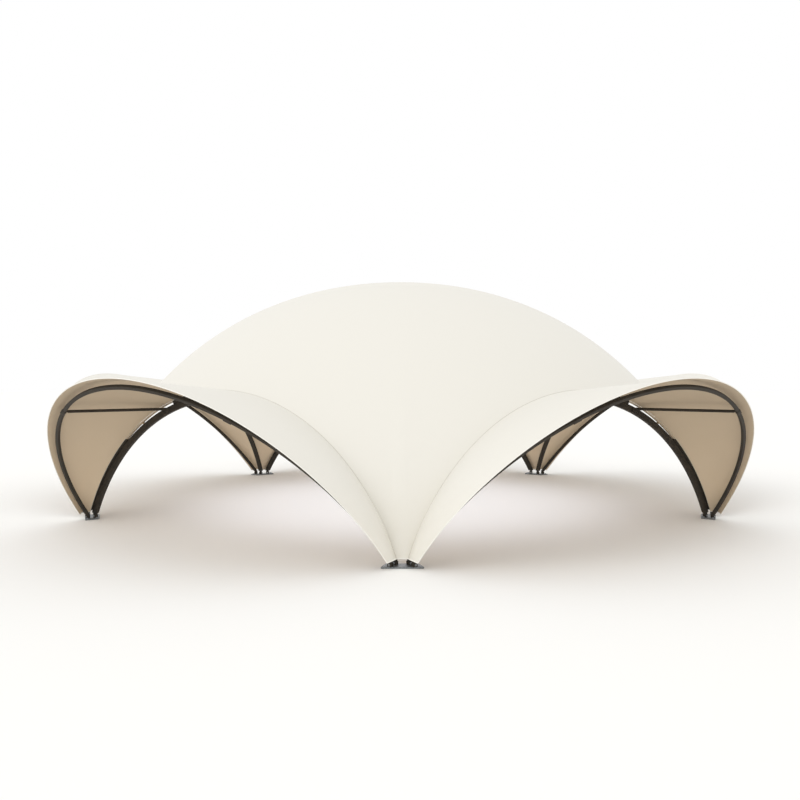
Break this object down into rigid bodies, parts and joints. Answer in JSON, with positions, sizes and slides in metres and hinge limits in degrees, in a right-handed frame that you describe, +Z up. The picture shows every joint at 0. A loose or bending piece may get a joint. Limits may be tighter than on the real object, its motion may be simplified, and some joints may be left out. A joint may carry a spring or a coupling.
{
  "type": "arched canopy tent",
  "caption": "Domed arch canopy on curved steel tubes, with a flared visor over each archway and flat foot plates.",
  "frame": {"origin": "on the ground, at the middle of the whole outline seen from above", "axes": "+Z up, +Y towards the back archway, so one foot stands at the front on -Y; +X to the right seen from the front"},
  "size_m": [13.9074, 13.6802, 4.466],
  "materials": {
    "charcoal_steel": "satin charcoal paint on bent steel tube",
    "galvanised_steel": "hot-dip galvanised plate, dull grey",
    "canopy_membrane": "coated woven polyester, off-white above and tan below"
  },
  "bodies": {
    "root": {"foot_front": "galvanised_steel", "foot_right": "galvanised_steel", "foot_back_right": "galvanised_steel", "foot_back_left": "galvanised_steel", "foot_left": "galvanised_steel", "inner_arch_front_right": "charcoal_steel", "keder_rail_front_right": "charcoal_steel", "outer_arch_front_right": "charcoal_steel", "rafter_front_right": "charcoal_steel", "strut_front_right_a": "charcoal_steel", "strut_front_right_b": "charcoal_steel", "visor_front_right": "canopy_membrane", "inner_arch_right_side": "charcoal_steel", "keder_rail_right_side": "charcoal_steel", "outer_arch_right_side": "charcoal_steel", "rafter_right_side": "charcoal_steel", "strut_right_side_a": "charcoal_steel", "strut_right_side_b": "charcoal_steel", "visor_right_side": "canopy_membrane", "inner_arch_back": "charcoal_steel", "keder_rail_back": "charcoal_steel", "outer_arch_back": "charcoal_steel", "rafter_back": "charcoal_steel", "strut_back_a": "charcoal_steel", "strut_back_b": "charcoal_steel", "visor_back": "canopy_membrane", "inner_arch_left_side": "charcoal_steel", "keder_rail_left_side": "charcoal_steel", "outer_arch_left_side": "charcoal_steel", "rafter_left_side": "charcoal_steel", "strut_left_side_a": "charcoal_steel", "strut_left_side_b": "charcoal_steel", "visor_left_side": "canopy_membrane", "inner_arch_front_left": "charcoal_steel", "keder_rail_front_left": "charcoal_steel", "outer_arch_front_left": "charcoal_steel", "rafter_front_left": "charcoal_steel", "strut_front_left_a": "charcoal_steel", "strut_front_left_b": "charcoal_steel", "visor_front_left": "canopy_membrane", "crown_ring": "charcoal_steel", "roof_membrane": "canopy_membrane"}
  },
  "joints": []
}
